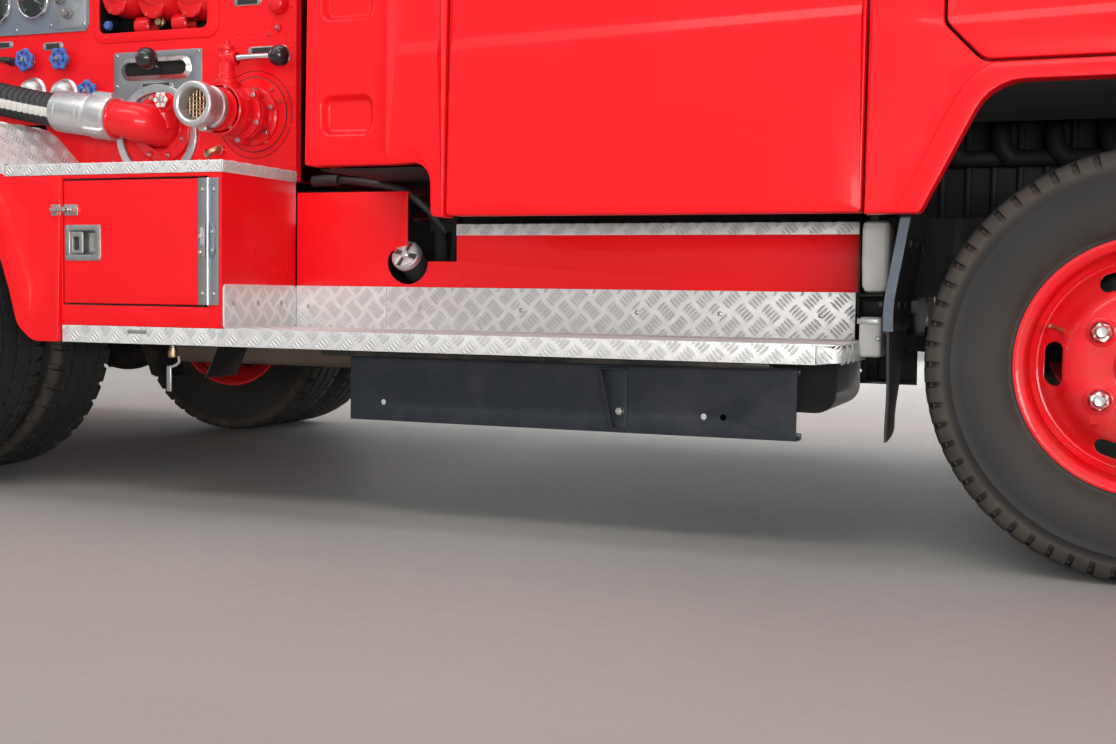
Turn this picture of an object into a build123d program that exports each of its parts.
from build123d import *
import math
import os

os.makedirs("parts", exist_ok=True)

# Crew-cab pumper fire engine. Millimetres, +X forward, +Y the vehicle's left, +Z up, road at Z = 0.
# Lengths "a" count forward from the front axle, heights "h" are those over the road on loaded tyres;
# the model stands on round, unsquashed tyres, so everything sprung stands LIFT higher.

# ---------------------------------------------------------------- driving dimensions
WHEELBASE = 3050.0
FRONT_OVERHANG = 1100.0
REAR_OVERHANG = 1650.0
HALF_WIDTH = 1085.0          # outer panels of cab, lockers and arches
RECESS = 775.0               # pump panel, skirt and kick plate plane
TYRE_R = 398.0
LIFT = 21.0                  # squash of a loaded tyre
HUB_H = TYRE_R - LIFT
RIM_PLANE = 1035.0           # outer flange of the front rim
KINGPIN_Y = 850.0
STEER = 35.0

CAB_REAR = -1718.0
CAB_FLOOR_FRONT = 935.0
CAB_FLOOR_REAR = 800.0
BELT = 1420.0
ROOF_UNDER = 2150.0
ROOF_TOP = 2215.0
DOOR_TOP = 2085.0
LEAN = 30.0                  # how far the cab sides lean in from belt to roof
WALL = 50.0                  # whole thickness of doors and cab sides
DOOR_GAP = 6.0
DOOR_GAP_REAR = 9.0

STEP_LOW, STEP_HIGH = 364.0, 404.0      # running board nose
SILL = 652.0                            # lower edge of cab and doors
LEDGE_LOW, LEDGE_HIGH = 757.0, 783.0    # chequered ledge over the lockers
PUMP_FRONT, LOCKER_REAR = -1933.0, -2384.0
ARCH_FRONT = -2433.0
FENDER_TOP = 920.0
BODY_REAR = -4600.0
BED_TOP = 1780.0
RAIL_LOW, RAIL_HIGH, RAIL_IN, RAIL_OUT = 500.0, 680.0, 370.0, 430.0

XF = (FRONT_OVERHANG + WHEELBASE + REAR_OVERHANG) / 2 - FRONT_OVERHANG
BODY_NODES = {}


# ---------------------------------------------------------------- helpers
def X(a):
    return XF + a


def Z(h):
    return h + LIFT


def box(a0, a1, y0, y1, h0, h1):
    return Pos((X(a0) + X(a1)) / 2, (y0 + y1) / 2, (Z(h0) + Z(h1)) / 2) * Box(
        abs(a1 - a0), abs(y1 - y0), abs(h1 - h0))


def outline(points):
    """Closed wire from rows of (u, v) or (u, v, corner radius)."""
    pts = [(p[0], p[1]) for p in points]
    radii = [p[2] if len(p) > 2 else 0 for p in points]
    if any(radii):
        return FilletPolyline(*pts, radius=radii, close=True)
    return Polyline(*pts, close=True)


def side_plate(points, y0, y1):
    """Prism across the vehicle from rows of (a, h, radius), between y0 and y1."""
    rows = [(X(p[0]), Z(p[1])) + tuple(p[2:]) for p in points]
    low, high = min(y0, y1), max(y0, y1)
    plane = Plane(origin=(0, high, 0), x_dir=(1, 0, 0), z_dir=(0, -1, 0))
    return extrude(plane * make_face(outline(rows)), amount=high - low)


def cross_plate(points, a0, a1):
    """Prism along the vehicle from rows of (y, h, radius), between a0 and a1."""
    rows = [(p[0], Z(p[1])) + tuple(p[2:]) for p in points]
    low, high = min(a0, a1), max(a0, a1)
    plane = Plane(origin=(X(low), 0, 0), x_dir=(0, 1, 0), z_dir=(1, 0, 0))
    return extrude(plane * make_face(outline(rows)), amount=high - low)


def plan_plate(points, h0, h1):
    """Upright prism from rows of (a, y, radius), between h0 and h1."""
    rows = [(X(p[0]), p[1]) + tuple(p[2:]) for p in points]
    return extrude(Plane(origin=(0, 0, Z(h0))) * make_face(outline(rows)), amount=h1 - h0)


def rod_y(a, h, r, y0, y1):
    return Pos(X(a), (y0 + y1) / 2, Z(h)) * Rot(90, 0, 0) * Cylinder(r, abs(y1 - y0))


def rod_x(y, h, r, a0, a1):
    return Pos((X(a0) + X(a1)) / 2, y, Z(h)) * Rot(0, 90, 0) * Cylinder(r, abs(a1 - a0))


def rod_z(a, y, r, h0, h1):
    return Pos(X(a), y, (Z(h0) + Z(h1)) / 2) * Cylinder(r, abs(h1 - h0))


def rod(p, q, r):
    """Round bar between two points (a, y, h)."""
    s, e = Vector(X(p[0]), p[1], Z(p[2])), Vector(X(q[0]), q[1], Z(q[2]))
    return Solid.make_cylinder(r, (e - s).length, Plane(origin=s, z_dir=(e - s).normalized()))


def wheel_of_revolution(rows, side):
    """Turns rows of (radius, depth inboard of a plane |y| = plane) round the Y axis; side is -1 right, +1 left."""
    pts = [(r, side * y) for r, y in rows]
    return revolve(Plane.XY * make_face(Polyline(*pts, close=True)), axis=Axis.Y)


def other_side(shape):
    return mirror(shape, about=Plane.XZ)


def both(shape):
    return [shape, other_side(shape)]


def save(name, shapes):
    solids = []
    for s in (shapes if isinstance(shapes, (list, tuple)) else [shapes]):
        solids.extend(s.solids())
    BODY_NODES[name] = len(solids)
    export_step(solids[0] if len(solids) == 1 else Compound(children=solids), "parts/%s.step" % name)


def fuse(shapes):
    whole = shapes[0]
    for s in shapes[1:]:
        whole = whole + s
    return whole


# ---------------------------------------------------------------- chassis frame
rail = cross_plate([(-RAIL_OUT, RAIL_LOW), (-RAIL_IN, RAIL_LOW), (-RAIL_IN, RAIL_LOW + 7),
                    (-RAIL_OUT + 7, RAIL_LOW + 7), (-RAIL_OUT + 7, RAIL_HIGH - 7),
                    (-RAIL_IN, RAIL_HIGH - 7), (-RAIL_IN, RAIL_HIGH), (-RAIL_OUT, RAIL_HIGH)], 880, BODY_REAR + 60)
members = [box(a, a + 60, -RAIL_OUT + 7, RAIL_OUT - 7, h0, h1)           # columns: a, h0, h1
           for a, h0, h1 in [(800, 520, 660), (-1040, 590, 660), (-1700, 590, 660), (-2500, 590, 660),
                             (-3500, 520, 660), (-4520, 520, 660)]]
hangers = [box(a - 40, a + 40, -RAIL_OUT, -RAIL_IN, h, RAIL_LOW)         # columns: a, h
           for a, h in [(590, 425.5), (-590, 425.5), (-2440, 455.5), (-3660, 455.5)]]
outriggers = [box(a, a + 40, -y, -RAIL_OUT, h0, h1)                       # columns: a, reach, h0, h1
              for a, y, h0, h1 in [(-610, 770.5, 510, 550), (-1120, 770.5, 510, 550), (-1760, 770.5, 510, 550),
                                   (-2010, 775.5, 600, 640), (-2350, 775.5, 600, 640), (-3750, 744.5, 640, 680), (-4450, 744.5, 640, 680)]]
feet = [box(a, a + 70, -RAIL_OUT, -RAIL_IN, RAIL_HIGH, h)                # columns: a, height of what rests on it
        for a, h in [(780, CAB_FLOOR_FRONT - 25.5), (-1640, CAB_FLOOR_REAR - 30.5), (-2330, 759.5), (-2740, 904.5), (-3400, 904.5),
                     (-3580, 1229.5), (-4480, 1229.5)]]
save("chassis_frame", both(fuse([rail] + hangers)))
frame_members = list(members)
for piece in outriggers + feet:
    frame_members += both(piece)
save("frame_members", frame_members)

# ---------------------------------------------------------------- axles, springs, knuckles
beam = cross_plate([(-830, HUB_H - 33), (-640, HUB_H - 33), (-540, HUB_H - 95), (540, HUB_H - 95), (640, HUB_H - 33),
                    (830, HUB_H - 33), (830, HUB_H + 33), (650, HUB_H + 33), (550, HUB_H - 25), (-550, HUB_H - 25),
                    (-650, HUB_H + 33), (-830, HUB_H + 33)], -34, 34)
bosses = both(rod_z(0, -KINGPIN_Y, 34, HUB_H - 60, HUB_H + 60) - box(-200, 200, -KINGPIN_Y + 30, 0, 0, 10))
kingpin_bores = both(rod_z(0, -KINGPIN_Y, 16.05, HUB_H - 80, HUB_H + 80))
save("front_axle_beam", fuse([beam] + bosses) - kingpin_bores[0] - kingpin_bores[1])

diff = Pos(X(-WHEELBASE), 0, Z(HUB_H)) * Sphere(150)
save("rear_axle_housing", fuse([rod_y(-WHEELBASE, HUB_H, 58, -560, 560), diff, rod_y(-WHEELBASE, HUB_H, 40, -905, 905)]))


def spring_pack(a_mid, half, h_mid, drop, thick, y0, y1):
    """Leaf spring as one curved bar with an eye at each end."""
    def arc(t):
        return ThreePointArc((X(a_mid - half), Z(h_mid + drop + t)), (X(a_mid), Z(h_mid + t)), (X(a_mid + half), Z(h_mid + drop + t)))
    low, high = arc(0), arc(thick)
    ends = [Line(low @ 0, high @ 0), Line(low @ 1, high @ 1)]
    plane = Plane(origin=(0, y1, 0), x_dir=(1, 0, 0), z_dir=(0, -1, 0))
    bar = extrude(plane * make_face(Wire([low, high] + ends)), amount=y1 - y0)
    eyes = [rod_y(a_mid + s * half, h_mid + drop + thick / 2, 24, y0, y1) for s in (-1, 1)]
    return fuse([bar] + eyes)


springs = []
for a_mid, half, h_mid, drop, thick in [(0, 590, HUB_H - 24.5, 30, 36),                # front, over the beam
                                         (-WHEELBASE, 610, HUB_H + 58.5, -28, 42)]:    # rear, over the housing
    springs += both(spring_pack(a_mid, half, h_mid, drop, thick, -RAIL_OUT, -RAIL_IN))
save("leaf_springs", springs)

knuckle = fuse([
    rod_z(0, -KINGPIN_Y, 16, HUB_H - 92, HUB_H + 92),
    box(-30, 30, -917, -KINGPIN_Y + 28, HUB_H + 66, HUB_H + 90),
    box(-30, 30, -917, -KINGPIN_Y + 28, HUB_H - 90, HUB_H - 66),
    box(-42, 42, -917, -892, HUB_H - 90, HUB_H + 90),
    rod_y(0, HUB_H, 150, -917, -910),                                   # brake backplate
    rod_y(0, HUB_H, 25, -1085, -910),                                   # stub axle
    box(-150, -30, -905, -892, HUB_H - 76, HUB_H - 50),                 # steering arm
    box(-168, -132, -905, -806, HUB_H - 76, HUB_H - 58),
    rod_z(-150, -806, 18, HUB_H - 76, HUB_H - 58),
])
save("knuckle_right", knuckle)
save("knuckle_left", other_side(knuckle))
TIE_A, TIE_Y, TIE_H = -150.0, 806.0, HUB_H - 98
tie = fuse([rod_y(TIE_A, TIE_H, 13, -TIE_Y, TIE_Y)] + [rod_z(TIE_A, s * TIE_Y, 17, TIE_H - 15, HUB_H - 76.5) for s in (-1, 1)])
save("tie_rod", tie)

# ---------------------------------------------------------------- wheels
# rows: (radius, |y|), from the outer flange plane inboard
P = RIM_PLANE
FRONT_BARREL = [(235, P), (235, P - 6), (222, P - 10), (222, P - 40), (200, P - 56), (200, P - 116), (222, P - 132),
                (222, P - 162), (235, P - 166), (235, P - 172), (227, P - 172), (227, P - 168), (214, P - 160),
                (214, P - 136), (193, P - 120), (193, P - 53), (214, P - 36), (214, P - 8), (227, P - 2), (227, P)]
FRONT_DISC = [(50, P + 27), (130, P + 27), (148, P + 16), (182, P - 40), (196, P - 58), (196, P - 74), (178, P - 55),
              (142, P + 3), (128, P + 15), (50, P + 15)]
FRONT_HUB = [(0, P + 66), (52, P + 66), (60, P + 58), (60, P - 60), (150, P - 62), (150, P - 108), (141, P - 108),
             (141, P - 72), (60, P - 72), (60, P - 100), (25.5, P - 100), (25.5, P + 52), (0, P + 52)]


def tyre_rows(c):
    outer = [(222.5, 60), (222.5, 75), (236, 79), (256, 97), (300, 112), (340, 113), (376, 104), (392, 91), (398, 78)]
    inner = [(380, 74), (366, 90), (335, 99), (300, 98), (262, 84), (240, 64)]
    ring = [(r, c + t) for r, t in outer] + [(r, c - t) for r, t in reversed(outer)]
    return ring + [(r, c - t) for r, t in inner[::-1]] + [(r, c + t) for r, t in inner]


def slots(radius, count, start, length, width, y0, y1):
    """Hand holes: rounded slots on a circle, cut along the axle."""
    cuts = []
    for i in range(count):
        ang = start + i * 360 / count
        cuts.append(Rot(0, ang, 0) * (Pos(0, (y0 + y1) / 2, radius) * Rot(90, 0, 0) * extrude(SlotOverall(length, width), amount=abs(y1 - y0) / 2, both=True)))
    return cuts


rim = wheel_of_revolution(FRONT_BARREL, -1) + wheel_of_revolution(FRONT_DISC, -1) + wheel_of_revolution(FRONT_HUB, -1)
for cut in slots(168, 5, 270, 84, 34, -P - 40, -P + 58):
    rim = rim - cut
tyre = wheel_of_revolution(tyre_rows(P - 86), -1)
place = Pos(X(0), 0, TYRE_R)
save("front_rim_right", place * rim)
save("front_tyre_right", place * tyre)
save("front_rim_left", other_side(place * rim))
save("front_tyre_left", other_side(place * tyre))

TWIN_OUT, TWIN_IN = 930.0, 665.0            # mid-planes of the twin tyres
twin = []
for c, sign in [(TWIN_OUT, 1), (TWIN_IN, -1)]:
    ring = [(235, 86), (235, 80), (222, 76), (222, 46), (200, 30), (200, -30), (222, -46), (222, -76), (235, -80),
            (235, -86), (227, -86), (227, -82), (214, -74), (214, -50), (193, -34), (193, 34), (214, 50), (214, 74),
            (227, 82), (227, 86)]
    twin.append(wheel_of_revolution([(r, c + t) for r, t in ring], -1))
    mid = (TWIN_OUT + TWIN_IN) / 2
    disc = [(92, mid), (130, mid), (146, mid + sign * 12), (182, c - sign * 40), (196, c - sign * 22), (196, c - sign * 6),
            (176, c - sign * 22), (140, mid + sign * 26), (128, mid + sign * 13), (92, mid + sign * 13)]
    twin.append(wheel_of_revolution(disc, -1))
twin.append(wheel_of_revolution([(0, 952), (80, 952), (98, 936), (98, 640), (40.6, 640), (40.6, 912), (0, 912)], -1))
twin_rim = fuse(twin)
for cut in slots(166, 5, 90, 80, 32, -980, -600):
    twin_rim = twin_rim - cut
twin_tyres = [wheel_of_revolution(tyre_rows(c), -1) for c in (TWIN_OUT, TWIN_IN)]
place = Pos(X(-WHEELBASE), 0, TYRE_R)
save("rear_rims_right", place * twin_rim)
save("rear_tyres_right", [place * t for t in twin_tyres])
save("rear_rims_left", other_side(place * twin_rim))
save("rear_tyres_left", [other_side(place * t) for t in twin_tyres])

# ---------------------------------------------------------------- driveline, tank, exhaust
save("engine_block", box(-520, 330, -260, 260, 430, 1040))
save("gearbox_and_shaft", fuse([box(-980, -521, -170, 170, 430, 690 - 12), rod_x(0, 505, 45, -1630, -979),
                                 rod((-1625, 0, 505), (-2895, 0, HUB_H + 20), 42)]))
tank = side_plate([(-1500, 245, 45), (-605, 245, 45), (-605, 490, 45), (-1500, 490, 45)], -762, -RAIL_OUT - 12)
save("fuel_tank", tank)
save("exhaust_muffler", fuse([rod_x(-585, 388, 92, -2430, -1790), rod_x(-585, 388, 30, -2560, -2420), rod_x(-585, 388, 30, -1800, -1560)]))

# ---------------------------------------------------------------- cab
side_slab_rows = [(-HALF_WIDTH, 380), (-HALF_WIDTH, BELT), (-HALF_WIDTH + LEAN, ROOF_UNDER), (-HALF_WIDTH + LEAN + WALL, ROOF_UNDER),
                  (-HALF_WIDTH + WALL, BELT), (-HALF_WIDTH + WALL, 380)]
slab = cross_plate(side_slab_rows, CAB_REAR, 1100)
g = DOOR_GAP / 2
gr = DOOR_GAP_REAR / 2
cab_side_rows = [(CAB_REAR, 765, 8), (-1505, 765, 10), (-1412, 770, 50), (-1412, SILL, 6), (-1380, SILL), (-1380, 600), (-511, 600),
                 (-511, SILL), (-405, SILL, 10), (-285, 890, 95), (285, 890, 95), (400, SILL, 10), (430, 430, 20), (894, 430, 30),
                 (894, 698), (955, 704, 10), (945, 1290, 40), (718, ROOF_UNDER), (CAB_REAR, ROOF_UNDER)]
crew_door_rows = [(-1380, SILL, 12), (-511, SILL, 12), (-511, DOOR_TOP, 70), (-1380, DOOR_TOP, 70)]
front_door_rows = [(-370, 1000, 30), (-300, 927, 40), (310, 927, 70), (425, 720, 50), (690, 720, 20), (690, DOOR_TOP, 60), (-370, DOOR_TOP, 70)]
crew_window_rows = [(-1300, BELT + 20, 60), (-590, BELT + 20, 60), (-590, 2010, 60), (-1300, 2010, 60)]
front_window_rows = [(-290, BELT + 20, 60), (610, BELT + 20, 60), (610, 2010, 60), (-290, 2010, 60)]
quarter_rows = [(738, BELT + 30, 15), (858, BELT + 30, 15), (738, 1890, 12)]


def grown(rows, front, rear, rest):
    """Moves an outline's edges outward: upright front and rear edges by their own amounts, all others by rest."""
    n = len(rows)
    turn = math.copysign(1, sum(rows[i][0] * rows[(i + 1) % n][1] - rows[(i + 1) % n][0] * rows[i][1] for i in range(n)))
    lines = []                                                          # columns: normal, distance from the origin
    for i in range(n):
        (a, h), (b, k) = rows[i][:2], rows[(i + 1) % n][:2]
        length = math.hypot(b - a, k - h)
        na, nh = turn * (k - h) / length, -turn * (b - a) / length
        lines.append((na, nh, na * a + nh * h + (front if na > 0.99 else rear if na < -0.99 else rest)))
    out = []
    for i in range(n):
        (na, nh, c), (ma, mh, d) = lines[i - 1], lines[i]
        det = na * mh - nh * ma
        out.append(((c * mh - d * nh) / det, (na * d - ma * c) / det) + tuple(rows[i][2:]))
    return out


def cut_through(rows, y_to=-900):
    return side_plate(rows, -HALF_WIDTH - 40, y_to)


side = slab & side_plate(cab_side_rows, -HALF_WIDTH - 20, -900)
crew_hole = [(a, h if h > 1000 else 560) + tuple(r) for a, h, *r in grown(crew_door_rows, g, gr, g)]
side = side - cut_through(crew_hole) - cut_through(grown(front_door_rows, g, gr, g)) - cut_through(quarter_rows)
side = side - box(462, 690, -HALF_WIDTH - 10, -900, 455, 730)          # entry step under the front door's foot
save("cab_sides", both(side.solids().sort_by(SortBy.VOLUME)[-1]))

for name, rows, window in [                                             # columns: node, door outline, window outline
        ("front_door", front_door_rows, front_window_rows), ("crew_door", crew_door_rows, crew_window_rows)]:
    door = (slab & side_plate(grown(rows, -g, -gr, -g), -HALF_WIDTH - 20, -900)) - cut_through(window)
    pane_slab = cross_plate([(-HALF_WIDTH + 20, BELT - 60), (-HALF_WIDTH + 20, BELT), (-HALF_WIDTH + LEAN + 20, ROOF_UNDER),
                             (-HALF_WIDTH + LEAN + 25, ROOF_UNDER), (-HALF_WIDTH + 25, BELT), (-HALF_WIDTH + 25, BELT - 60)], CAB_REAR, 1000)
    pane = pane_slab & side_plate(grown(window, -0.5, -0.5, -0.5), -HALF_WIDTH - 20, -900)
    save(name + "_right", door)
    save(name + "_left", other_side(door))
    save(name + "_pane_right", pane)
    save(name + "_pane_left", other_side(pane))

IN = HALF_WIDTH - WALL - 2.0                # inside of the cab sides, less a joint
front_floor = fuse([
    box(-470, 900, -IN, IN, CAB_FLOOR_FRONT - 25, CAB_FLOOR_FRONT),                       # front floor over the wheels
    box(-470, -445, -IN, IN, CAB_FLOOR_REAR - 30, CAB_FLOOR_FRONT),                       # step down behind the wheels
]) - box(-600, 480.5, -330.5, 330.5, 400, 1200)
rear_floor = box(CAB_REAR + 40, -470.5, -IN, IN, CAB_FLOOR_REAR - 30, CAB_FLOOR_REAR) - box(-560.5, -400, -330.5, 330.5, 400, 1200)
engine_cover = box(-560, 480, -330, 330, CAB_FLOOR_REAR - 30, 1110) - box(-545, 465, -315, 315, 400, 1095) \
    - box(-545, 500, -400, 400, 700, CAB_FLOOR_FRONT - 25)
wells = []                                                              # entry step wells in front of the wheels
for s in (-1, 1):
    front_floor = front_floor - box(456.5, 695.5, s * (IN + 10), s * 799.5, 500, CAB_FLOOR_FRONT + 20)
    wells.append(fuse([box(457, 695, s * IN, s * 800, 448, 455), box(457, 695, s * 805, s * 800, 448, CAB_FLOOR_FRONT),
                       box(457, 462, s * IN, s * 800, 448, CAB_FLOOR_FRONT), box(690, 695, s * IN, s * 800, 448, CAB_FLOOR_FRONT)]))
floor = [front_floor, rear_floor, engine_cover] + wells
save("cab_floor", floor)

front_panel = side_plate([(958, 700), (1012, 740, 40), (1012, 1190, 60), (985, 1325), (948, 1325), (958, 1250)], -HALF_WIDTH + 2, HALF_WIDTH - 2)
front_panel = front_panel & plan_plate([(950, -HALF_WIDTH + 2), (1013, -HALF_WIDTH + 2, 58), (1013, HALF_WIDTH - 2, 58), (950, HALF_WIDTH - 2)], 600, 1400)
save("cab_front_panel", front_panel)

roof_rows = [(760, ROOF_UNDER + 1, 0), (735, ROOF_TOP - 20, 40), (560, ROOF_TOP, 60), (CAB_REAR + 60, ROOF_TOP, 60), (CAB_REAR, ROOF_TOP - 20, 20),
             (CAB_REAR, ROOF_UNDER + 1)]
roof = side_plate(roof_rows, -HALF_WIDTH + LEAN, HALF_WIDTH - LEAN)
roof = roof & cross_plate([(-HALF_WIDTH + LEAN, ROOF_UNDER + 1), (-HALF_WIDTH + LEAN + 12, ROOF_TOP - 18, 40), (-HALF_WIDTH + 250, ROOF_TOP + 2, 80),
                           (HALF_WIDTH - 250, ROOF_TOP + 2, 80), (HALF_WIDTH - LEAN - 12, ROOF_TOP - 18, 40), (HALF_WIDTH - LEAN, ROOF_UNDER + 1)], CAB_REAR - 10, 900)
roof = roof & plan_plate([(CAB_REAR, -HALF_WIDTH + LEAN, 20), (762, -HALF_WIDTH + LEAN, 110), (762, HALF_WIDTH - LEAN, 110), (CAB_REAR, HALF_WIDTH - LEAN, 20)], 2000, 2400)
save("cab_roof", roof)

rear_wall = box(CAB_REAR, CAB_REAR + 38, -IN, IN, CAB_FLOOR_REAR - 30, ROOF_UNDER)
rear_wall = rear_wall - box(CAB_REAR - 10, CAB_REAR + 50, -560, 560, 1500, 1960)
rear_wall = rear_wall & cross_plate([(-IN, 700), (-IN, BELT), (-IN + LEAN, ROOF_UNDER), (IN - LEAN, ROOF_UNDER), (IN, BELT), (IN, 700)], CAB_REAR - 5, CAB_REAR + 60)
save("cab_rear_wall", rear_wall)

screen_low, screen_high = (968, 1328), (742, ROOF_UNDER - 1)
screen_slope = (screen_low[0] - screen_high[0]) / (screen_high[1] - screen_low[1])
GLASS = 6.0
screen = side_plate([(screen_low[0], screen_low[1]), (screen_high[0], screen_high[1]), (screen_high[0] - GLASS, screen_high[1]),
                     (screen_low[0] - GLASS, screen_low[1])], -HALF_WIDTH + 26, HALF_WIDTH - 26)
screen = screen & cross_plate([(-HALF_WIDTH + 26, 1328), (HALF_WIDTH - 26, 1328), (HALF_WIDTH - 26 - 24, ROOF_UNDER), (-HALF_WIDTH + 26 + 24, ROOF_UNDER)], 0, 1100)
quarters = both((cross_plate([(-HALF_WIDTH + 20, BELT - 60), (-HALF_WIDTH + 20, BELT), (-HALF_WIDTH + LEAN + 20, ROOF_UNDER),
                              (-HALF_WIDTH + LEAN + 25, ROOF_UNDER), (-HALF_WIDTH + 25, BELT), (-HALF_WIDTH + 25, BELT - 60)], 600, 1000)
                 & side_plate([(738.5, BELT + 30.5, 15), (857, BELT + 30.5, 15), (738.5, 1888, 12)], -HALF_WIDTH - 20, -900)))
rear_pane = box(CAB_REAR + 14, CAB_REAR + 20, -559.5, 559.5, 1500.5, 1959.5)
save("cab_glass", [screen, rear_pane] + quarters)

# ---------------------------------------------------------------- inside the cab
dash = side_plate([(905, CAB_FLOOR_FRONT + 1), (640, CAB_FLOOR_FRONT + 1), (640, 1060, 30), (560, 1180, 40), (590, 1330, 60), (900, 1325, 30)], -IN + 1, IN - 1)
save("dashboard", dash)

seats = []                                                              # columns: a of the back's face, y0, y1, floor, cushion height
for a_back, y0, y1, base, top in [(-330, -960, -400, CAB_FLOOR_FRONT + 1, 1210), (-330, 400, 960, CAB_FLOOR_FRONT + 1, 1210),
                                  (-330, -310, 310, 1111, 1200), (-1560, -940, 940, CAB_FLOOR_REAR + 1, 1150)]:
    seat = fuse([side_plate([(a_back - 20, base), (a_back + 430, base), (a_back + 480, top, 50), (a_back - 20, top, 20)], y0, y1),
                 side_plate([(a_back - 10, top - 60), (a_back + 40, top - 60), (a_back - 25, top + 560, 40), (a_back - 110, top + 560, 40), (a_back - 70, top - 60)], y0 + 10, y1 - 10)])
    seats.append(seat)
save("seats", seats)

WHEEL_A, WHEEL_Y, WHEEL_H, WHEEL_TILT = 470.0, -640.0, 1370.0, 35.0     # steering wheel centre; column leans back from upright
ring = Torus(205, 14) + Cylinder(55, 26) + Box(400, 30, 14) + Pos(0, -100, 0) * Box(30, 200, 14)
steering_wheel = Pos(X(WHEEL_A), WHEEL_Y, Z(WHEEL_H)) * Rot(0, -WHEEL_TILT, 0) * ring
save("steering_wheel", steering_wheel)
COLUMN = (math.sin(math.radians(WHEEL_TILT)), 0, -math.cos(math.radians(WHEEL_TILT)))

# ---------------------------------------------------------------- front bumper, lamps, mirrors, light bar
bumper = plan_plate([(900, -HALF_WIDTH + 6), (1000, -HALF_WIDTH + 6, 90), (1100, -880, 200), (1100, 880, 200), (1000, HALF_WIDTH - 6, 90),
                     (900, HALF_WIDTH - 6), (960, HALF_WIDTH - 56), (1040, 850, 150), (1040, -850, 150), (960, -HALF_WIDTH + 56)], 420, 690)
save("front_bumper", bumper)
lamps = []
for a, y0, y1, h0, h1, deep in [(1013, -960, -700, 800, 960, 40), (-4601, -1010, -780, 440, 560, -40)]:  # columns: face, width, height, depth
    lamps += both(side_plate([(a, h0, 8), (a + deep, h0, 8), (a + deep, h1, 8), (a, h1, 8)], y0, y1))
save("lamps", lamps)

mirror_arm = fuse([rod((790, -1082, 1905), (896, -1187, 1905), 9), rod((900, -1190, 1930), (900, -1190, 1480), 12),
                   rod((880, -1094, 1510), (897, -1186, 1510), 9),
                   box(872, 920, -1250, -1130, 1545, 1880)])
save("mirrors", both(mirror_arm))

bar = fuse([side_plate([(330, ROOF_TOP + 30, 30), (590, ROOF_TOP + 30, 30), (570, ROOF_TOP + 175, 50), (350, ROOF_TOP + 175, 50)], -700, 700)]
           + [box(380, 540, y - 40, y + 40, ROOF_TOP + 0.5, ROOF_TOP + 60) for y in (-450, 450)])
save("roof_light_bar", bar)

flaps = both(side_plate([(-446, 769), (-446, SILL), (-462, 480), (-466, 215), (-472, 215), (-468, 480), (-452, SILL), (-452, 769)], -1020, -740)) \
    + both(box(-3589.5, -3583, -1040, -560, 190, 560))
save("mud_flaps", flaps)

# ---------------------------------------------------------------- running boards, skirts, side guards
board = fuse([
    box(-2382, -514, -HALF_WIDTH, -HALF_WIDTH + 4, STEP_LOW, STEP_HIGH),
    box(-2382, -514, -HALF_WIDTH, -RECESS, STEP_HIGH - 4, STEP_HIGH),
    box(-1930, -563, -RECESS - 3, -RECESS, STEP_HIGH - 4, 504),
    box(-2382, -514, -RECESS - 3, -RECESS, STEP_LOW, STEP_HIGH),
] + [box(a, a + 40, -HALF_WIDTH, -RECESS, STEP_LOW, STEP_HIGH) for a in (-2382, -1500, -554)])
save("running_boards", both(board))

skirt_rows = [(-1930, 505), (-562, 505), (-562, 652), (-1497, 652), (-1497, 566), (-1571, 566), (-1571, 545), (-1600, 512), (-1650, 512), (-1678, 566),
              (-1660, 592), (-1626, 594), (-1626, 732), (-1930, 732)]
skirt = fuse([side_plate(skirt_rows, -RECESS, -RECESS + 4), box(-1497, -562, -RECESS, -RECESS + 100, 648, 652),
              box(-1930, -1626, -RECESS, -RECESS + 100, 728, 732)])
save("skirts", both(skirt))
guard = fuse([
    box(-1642, -640, -HALF_WIDTH + 70, -HALF_WIDTH + 80, 208, 350),
    box(-1642, -626, -HALF_WIDTH + 40, -HALF_WIDTH + 80, 208, 213),
    box(-1642, -640, -HALF_WIDTH + 40, -HALF_WIDTH + 80, 345, 350),
] + [box(a, a + 45, -HALF_WIDTH + 80, -HALF_WIDTH + 110, 213, 363.5) for a in (-1500, -1040, -700)])
save("side_guards", both(guard))

# ---------------------------------------------------------------- lockers in front of the rear wheels, body sides
T = 3.0
locker = box(LOCKER_REAR, PUMP_FRONT, -HALF_WIDTH, -RECESS - 0.5, STEP_HIGH + 0.5, LEDGE_HIGH)
locker = locker - box(LOCKER_REAR + 20, PUMP_FRONT - T, -HALF_WIDTH + 20, -RECESS - 0.5 - T, STEP_HIGH + 20, LEDGE_LOW - 5)
locker = locker - box(-2379, -1957, -HALF_WIDTH - 10, -HALF_WIDTH + 40, 452, 748)
save("side_lockers", both(locker))
# doors are a sheet with a stiffening box set back from the hinged edge; hinge knuckles stand 4 outboard of the sheet
locker_door = fuse([box(-2373, -1972, -HALF_WIDTH, -HALF_WIDTH + 3, 458, 742), box(-2355, -1998, -HALF_WIDTH, -HALF_WIDTH + 18, 476, 724),
                    box(-1995, -1969, -HALF_WIDTH - 2.5, -HALF_WIDTH + 1, 458, 742), rod_z(-1969, -HALF_WIDTH - 4, 4, 458, 742)])
save("locker_door_right", locker_door)
save("locker_door_left", other_side(locker_door))

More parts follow.
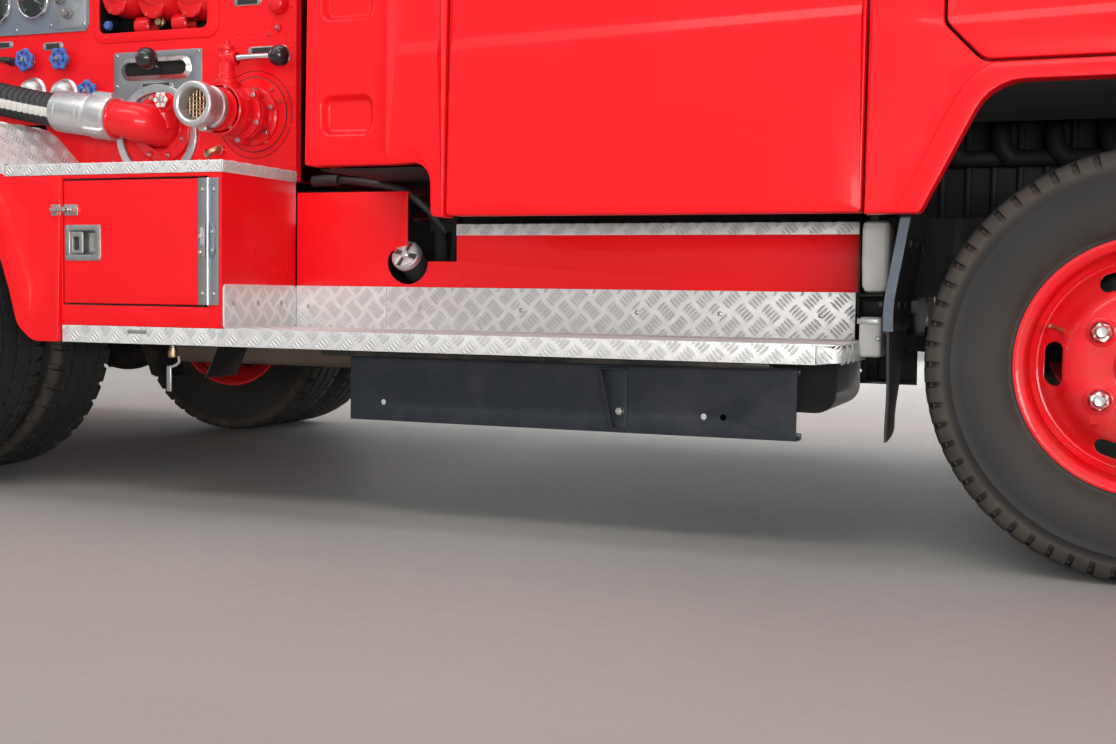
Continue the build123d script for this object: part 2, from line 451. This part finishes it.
# body side: lower wide part with the wheel arch, its flat fender top, and the closed lockers behind the wheels
ARCH_R = 520.0
arch_front, arch_rear = -WHEELBASE + 617, -WHEELBASE - 520
SLOPE_LOW, SLOPE_TOP = -2550.0, -2685.0     # where the ledge turns up over the wheel
side_body_rows = [(LOCKER_REAR - 1, STEP_LOW, 5), (-2462, STEP_LOW, 60), (-2508, 401, 60), (-2531, 485, 140), (-2575, 610, 300), (-2662, 770, 260), (-2780, 862, 160), (-3440, 862, 170),
                  (arch_rear, 640, 90), (arch_rear, 340, 20), (BODY_REAR, 340, 10), (BODY_REAR, FENDER_TOP), (SLOPE_TOP, FENDER_TOP), (SLOPE_LOW, LEDGE_HIGH), (LOCKER_REAR - 1, LEDGE_HIGH)]
skin = side_plate(side_body_rows, -HALF_WIDTH, -HALF_WIDTH + 20)
top_rows = [(LOCKER_REAR - 1, LEDGE_HIGH), (SLOPE_LOW, LEDGE_HIGH), (SLOPE_TOP, FENDER_TOP), (BODY_REAR, FENDER_TOP), (BODY_REAR, FENDER_TOP - 5), (SLOPE_TOP + 2, FENDER_TOP - 5),
            (SLOPE_LOW - 2, LEDGE_HIGH - 5), (LOCKER_REAR - 1, LEDGE_HIGH - 5)]
top = side_plate(top_rows, -HALF_WIDTH, -RECESS - 0.5)
rear_box = box(arch_rear - 20, BODY_REAR, -HALF_WIDTH, -RECESS + 30, 340, FENDER_TOP - 2) \
    - box(arch_rear - 40, BODY_REAR + 20, -HALF_WIDTH + 20, -RECESS + 15, 360, FENDER_TOP - 20)
rear_hole = (-4480, -3680, 420, 860)
body_side = fuse([skin, top, rear_box]) - box(rear_hole[0], rear_hole[1], -HALF_WIDTH - 10, -HALF_WIDTH + 40, rear_hole[2], rear_hole[3])
save("body_sides", both(body_side))
rear_locker_door = (box(rear_hole[0] + 6, rear_hole[1] - 6, -HALF_WIDTH, -HALF_WIDTH + 3, rear_hole[2] + 6, rear_hole[3] - 14)
                    + box(rear_hole[0] + 30, rear_hole[1] - 30, -HALF_WIDTH, -HALF_WIDTH + 18, rear_hole[2] + 30, rear_hole[3] - 42))
save("rear_locker_door_right", rear_locker_door)
save("rear_locker_door_left", other_side(rear_locker_door))

# ---------------------------------------------------------------- pump house and hose bed
panel = box(-2640, PUMP_FRONT, -RECESS, -RECESS + 4, LEDGE_HIGH - 25, BED_TOP) - box(-2522, -2190, -RECESS - 10, -RECESS + 10, 1142, 1320)
save("pump_and_tank", fuse([box(-2600, -2000, -500, 500, 760, 1250), box(-3480, -2600, -560, 560, 905, 1190)]))

BED_FRONT = -2642.0
HOSE_R, HOSE_Y, HOSE_LOW, HOSE_HIGH = 43.0, 930.0, 1030.0, 1750.0
bed = box(BED_FRONT, BODY_REAR, -RECESS, RECESS, FENDER_TOP + 1, BED_TOP)
bed = bed - box(BED_FRONT - 30, BODY_REAR - 10, -RECESS + 30, RECESS - 30, 1260, BED_TOP + 10)
bed = bed - box(BED_FRONT + 1, BODY_REAR + 30, -RECESS + 30, RECESS - 30, 900, 1230)
bed = fuse([bed, box(BODY_REAR, BODY_REAR + 6, -RECESS + 31, RECESS - 31, 560, FENDER_TOP + 10)]
           + [box(a, a + 40, s * RECESS, s * 985, h - 4, h) for a in (-4100, -3650, -3240) for h in (HOSE_LOW - HOSE_R - 1, HOSE_HIGH - HOSE_R - 1) for s in (-1, 1)]
           + [box(a, a + 40, s * 981, s * 985, h - 4, h + 60) for a in (-4100, -3650, -3240) for h in (HOSE_LOW - HOSE_R - 1, HOSE_HIGH - HOSE_R - 1) for s in (-1, 1)])
save("hose_bed", bed)
save("pump_house", fuse([panel, other_side(panel), box(-2640, PUMP_FRONT, -RECESS, RECESS, BED_TOP - 6, BED_TOP), box(PUMP_FRONT - 4, PUMP_FRONT, -RECESS, RECESS, 758, BED_TOP)]))
rear_gate = box(BODY_REAR + 1, BODY_REAR + 25, -RECESS + 36, RECESS - 36, 1266, BED_TOP)
save("rear_gate", rear_gate)

# ---------------------------------------------------------------- pump fittings and suction hoses
SUCTION_Y = -865.0
fittings = fuse([
    rod_y(-2330, 905, 90, -RECESS - 12, -RECESS - 0.5),
    rod_y(-2305, 905, 50, SUCTION_Y, -RECESS - 0.5),
    Pos(X(-2305), SUCTION_Y, Z(905)) * Sphere(51),
    rod((-2305, SUCTION_Y, 905), (-2405, SUCTION_Y, 916.7), 41),
    rod((-2400, SUCTION_Y, 916), (-2460, SUCTION_Y, 924.9), 58),
    rod((-2459, SUCTION_Y, 924.7), (-2576, SUCTION_Y, 942), 52),
])
# delivery outlet, turned about its own axis: rows of (radius, |y|)
outlet_rows = [(0, RECESS + 0.5), (66, RECESS + 0.5), (66, RECESS + 14), (48, RECESS + 18), (48, 885), (56, 888), (56, 903), (48, 906), (46, 938),
               (44, 945), (44, 972), (52, 976), (52, 1035), (36, 1035), (36, 945), (0, 945)]
outlet = fuse([
    Pos(X(-2050), 0, Z(922)) * wheel_of_revolution(outlet_rows, -1),
    rod_z(-2058, -866, 13, 950, 1062),
    box(-2056, -1932, -871, -861, 1045, 1056),
    Pos(X(-1922), -866, Z(1052)) * Sphere(19),
])
end_cap = fuse([rod_x(-HOSE_Y, HOSE_HIGH, 52, -2749, -2665), rod_x(-HOSE_Y, HOSE_HIGH, 58, -2690, -2650)])
save("pump_fittings", both(fittings) + both(outlet) + both(end_cap))

hose_points = [(-2577, SUCTION_Y, 942.1, 0), (-2660, SUCTION_Y, 954.4, 500), (-2980, -HOSE_Y, HOSE_LOW, 900),
               (-4299, -HOSE_Y, HOSE_LOW, 358), (-4510, -HOSE_Y, 1241, 358), (-4510, -HOSE_Y, 1539, 358),
               (-4299, -HOSE_Y, HOSE_HIGH, 358), (-2750, -HOSE_Y, HOSE_HIGH, 0)]      # columns: a, y, h, bend radius


def tube(rows, r):
    """Hose along straight runs with tangent arcs."""
    pts = [(X(a), y, Z(h)) for a, y, h, _ in rows]
    path = FilletPolyline(*pts, radius=[row[3] for row in rows[1:-1]])
    section = Plane(origin=path @ 0, z_dir=path % 0) * Circle(r)
    swept = sweep(section, path=path)
    print("hose length", round(path.length), "volume over section x length", round(swept.volume / (math.pi * r * r * path.length), 4))
    return swept


hose = tube(hose_points, HOSE_R)
save("suction_hoses", both(hose))

# ---------------------------------------------------------------- ladder, rack, rear step
posts = []
for a in (-2700, -4500):
    posts.append(fuse([rod_z(a, s * 700, 16, BED_TOP + 0.5, 2245) for s in (-1, 1)] + [rod_y(a, 2245, 16, -700, 700)]))
save("ladder_rack", posts)
LAD_Y = 200.0
lad = fuse([box(-4640, -1250, s * LAD_Y - 16, s * LAD_Y + 16, 2262, 2332) for s in (-1, 1)]
           + [rod_y(a, 2297, 15, -LAD_Y, LAD_Y) for a in range(-4500, -1300, 320)])
save("ladder", lad)
step = fuse([box(BODY_REAR - 2, BODY_REAR - 100, -1000, 1000, 380, 420)] + [box(BODY_REAR + 59, BODY_REAR - 10, s * 400 - 25, s * 400 + 25, 385, 415) for s in (-1, 1)]
            + [box(BODY_REAR + 100, BODY_REAR + 59, s * 400 - 25, s * 400 + 25, 385, RAIL_LOW - 0.5) for s in (-1, 1)])
save("rear_step", step)

print(len(BODY_NODES), "nodes", BODY_NODES)
